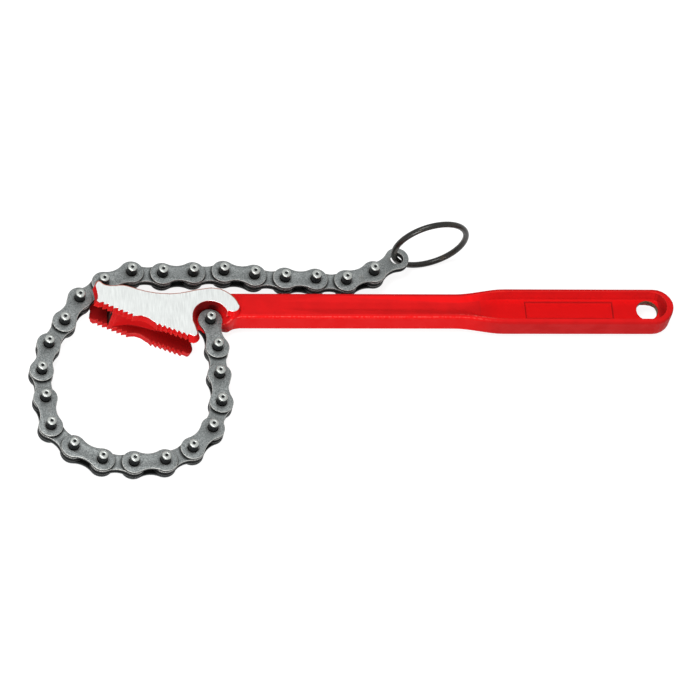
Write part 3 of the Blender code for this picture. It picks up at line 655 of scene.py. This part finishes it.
def plate_mesh(name, pitch, hole_radii, covered):
    """A stamped plate with rounded rims, along +X from its first hole and centred on z = 0.

    The rim mark is 0 on the sides, 1 on the worn rim, RIM_ON_FACE on the outer face and its negative inside;
    the sides and the inside take painted shade, and the worn rim is partly a painted highlight.
    """
    curve = bpy.data.curves.new(name, "CURVE")
    curve.dimensions = "2D"
    curve.fill_mode = "BOTH"
    curve.extrude = PLATE_THICKNESS / 2 - PLATE_EDGE_RADIUS
    curve.bevel_depth = PLATE_EDGE_RADIUS
    curve.bevel_resolution = 2
    curve.offset = -PLATE_EDGE_RADIUS
    loops = [plate_outline(pitch, PLATE_END_STEPS, PLATE_WAIST_STEPS)]
    for centre, radius in zip((0.0, pitch), hole_radii):
        turns = [2 * math.pi * i / ROUND_STEPS for i in range(ROUND_STEPS)]
        loops.append([Vector((centre + radius * math.cos(a), -radius * math.sin(a))) for a in turns])
    for loop in loops:
        spline = curve.splines.new("POLY")
        spline.points.add(len(loop) - 1)
        for point, place in zip(spline.points, loop):
            point.co = (place.x, place.y, 0.0, 1.0)
        spline.use_cyclic_u = True
    guide = bpy.data.objects.new(name, curve)
    bpy.context.scene.collection.objects.link(guide)
    mesh = bpy.data.meshes.new_from_object(guide.evaluated_get(bpy.context.evaluated_depsgraph_get()))
    bpy.data.objects.remove(guide, do_unlink=True)
    shape = bmesh.new()
    shape.from_mesh(mesh)
    bmesh.ops.remove_doubles(shape, verts=shape.verts, dist=WELD)
    bmesh.ops.recalc_face_normals(shape, faces=shape.faces)
    shape.to_mesh(mesh)
    shape.free()
    places = mesh_places(mesh)
    top = PLATE_THICKNESS / 2
    rim = smooth_step(places[:, 2], top - 1.2 * PLATE_EDGE_RADIUS, top - 0.4 * PLATE_EDGE_RADIUS)
    rim = np.where(places[:, 2] > top - FACE_SKIN, RIM_ON_FACE, rim)
    rim = np.where(places[:, 2] < FACE_SKIN - top, -RIM_ON_FACE, rim)
    set_attribute(mesh, "rim", rim)
    set_attribute(mesh, "along", places[:, 0] / pitch - 0.5)
    set_attribute(mesh, "across", places[:, 1] / pitch)
    set_attribute(mesh, "covered", np.full(len(places), covered))
    mesh.shade_smooth()
    mesh.set_sharp_from_angle(angle=math.radians(SHARP_ANGLE))
    return mesh


def pin_mesh():
    """A riveted pin along z: domed, chamfered ends, each with a punched dimple.

    The profile gives a radius, a height, and how bright the steel is there, from painted shade at 0 to the
    bright end at 1.
    """
    half = PIN_HALF_LENGTH
    profile = [(0.0, half - 0.55 * MM, 0.0), (0.45 * MM, half - 0.5 * MM, 0.0),
               (0.8 * MM, half - 0.12 * MM, 0.4), (0.95 * MM, half, 1.0),
               (1.7 * MM, half - 0.03 * MM, 1.0), (2.1 * MM, half - 0.12 * MM, 1.0),
               (2.38 * MM, half - 0.34 * MM, 0.8), (PIN_RADIUS, half - 0.7 * MM, 0.2),
               (PIN_RADIUS, half - 1.3 * MM, 0.0)]
    profile += [(radius, -height, end) for radius, height, end in reversed(profile)]
    shape = bmesh.new()
    layer = shape.verts.layers.float.new("end")
    for radius, height, end in profile:
        shape.verts.new((radius, 0.0, height))[layer] = end
    shape.verts.ensure_lookup_table()
    for i in range(len(profile) - 1):
        shape.edges.new((shape.verts[i], shape.verts[i + 1]))
    bmesh.ops.spin(shape, geom=list(shape.verts) + list(shape.edges), cent=(0, 0, 0), axis=(0, 0, 1),
                   angle=2 * math.pi, steps=ROUND_STEPS, use_duplicate=False)
    bmesh.ops.remove_doubles(shape, verts=shape.verts, dist=WELD)
    bmesh.ops.recalc_face_normals(shape, faces=shape.faces)
    mesh = bpy.data.meshes.new("pin")
    shape.to_mesh(mesh)
    shape.free()
    mesh.shade_smooth()
    return mesh


def placed(mesh, start, heading, height):
    """A copy of a mesh turned to a heading and moved to its place; below the middle it is turned over."""
    copy = mesh.copy()
    turn = Matrix.Rotation(heading, 4, "Z")
    if height < 0:
        turn = turn @ Matrix.Rotation(math.pi, 4, "X")
    copy.transform(Matrix.Translation((start.x, start.y, MID_Z + height)) @ turn)
    return copy


def build_chain():
    """Plates and pins of all the links, laid out on the frame's joints."""
    points = [Vector(joint["pos_m"]).xy for joint in frame["joints"]]
    pitch = (points[1] - points[0]).length
    hole = PIN_RADIUS + HOLE_CLEARANCE
    outer_plate = plate_mesh("outer_plate", pitch, (hole, hole), 0.0)
    inner_plate = plate_mesh("inner_plate", pitch, (hole, hole), 1.0)
    last_plate = plate_mesh("last_plate", pitch, (hole, RING_HOLE_RADIUS), 0.0)
    pin = pin_mesh()
    steel = plate_material()
    pin_steel = pin_material()
    for index, (start, end) in enumerate(zip(points, points[1:])):
        heading = math.atan2(end.y - start.y, end.x - start.x)
        number = index // 2 + 1
        if index % 2:
            body = f"inner_link_{number:02d}"
            mesh = last_plate if index == len(points) - 2 else inner_plate
            sides = (("front_plate", INNER_PLATE_Z), ("rear_plate", -INNER_PLATE_Z))
        else:
            body = f"outer_link_{number:02d}"
            mesh = outer_plate
            sides = (("cover_plate", OUTER_PLATE_Z), ("pin_plate", -OUTER_PLATE_Z))
            for place, name in ((start, "pin_a"), (end, "pin_b")):
                add_piece(f"{body}_{name}", placed(pin, place, heading, 0.0), pin_steel,
                          body, "chain_steel", f"{body}_pin_plate")
        for name, height in sides:
            add_piece(f"{body}_{name}_looks", placed(mesh, start, heading, height), steel,
                      body, "chain_steel", f"{body}_{name}")
    return points[-1]


def build_ring(hole_centre):
    """The pull ring, standing in the last hole and tipped until it nearly touches the bench."""
    rise = RING_RADIUS + RING_WIRE_RADIUS + RING_FLOOR_GAP - MID_Z
    reach = math.sqrt(RING_RADIUS ** 2 - rise ** 2)
    turn = Matrix.Rotation(math.radians(RING_HEADING), 4, "Z")
    shape = bmesh.new()
    rings = []
    for i in range(RING_STEPS):
        angle = 2 * math.pi * i / RING_STEPS
        spoke = Vector((math.cos(angle), 0.0, math.sin(angle)))
        ring = []
        for j in range(WIRE_STEPS):
            roll = 2 * math.pi * j / WIRE_STEPS
            offset = spoke * math.cos(roll) + Vector((0.0, 1.0, 0.0)) * math.sin(roll)
            ring.append(shape.verts.new(spoke * RING_RADIUS + offset * RING_WIRE_RADIUS))
        rings.append(ring)
    for near, far in zip(rings, rings[1:] + rings[:1]):
        for j in range(WIRE_STEPS):
            k = (j + 1) % WIRE_STEPS
            shape.faces.new((near[j], near[k], far[k], far[j]))
    bmesh.ops.recalc_face_normals(shape, faces=shape.faces)
    mesh = bpy.data.meshes.new("ring")
    shape.to_mesh(mesh)
    shape.free()
    mesh.transform(Matrix.Translation((hole_centre.x, hole_centre.y, MID_Z)) @ turn
                   @ Matrix.Translation((reach, 0.0, rise)))
    mesh.shade_smooth()
    add_piece("pull_ring_looks", mesh, ring_material(), "pull_ring", "ring_steel", "pull_ring")


add_camera()
add_world()
add_area_light("top_light", **TOP_LIGHT)
add_area_light("front_light", **FRONT_LIGHT)
add_floor()
add_piece("lever_looks", lever_mesh(), paint_material(), "lever", "red_paint", "lever")
build_ring(build_chain())
bpy.context.scene.view_settings.view_transform = "Standard"
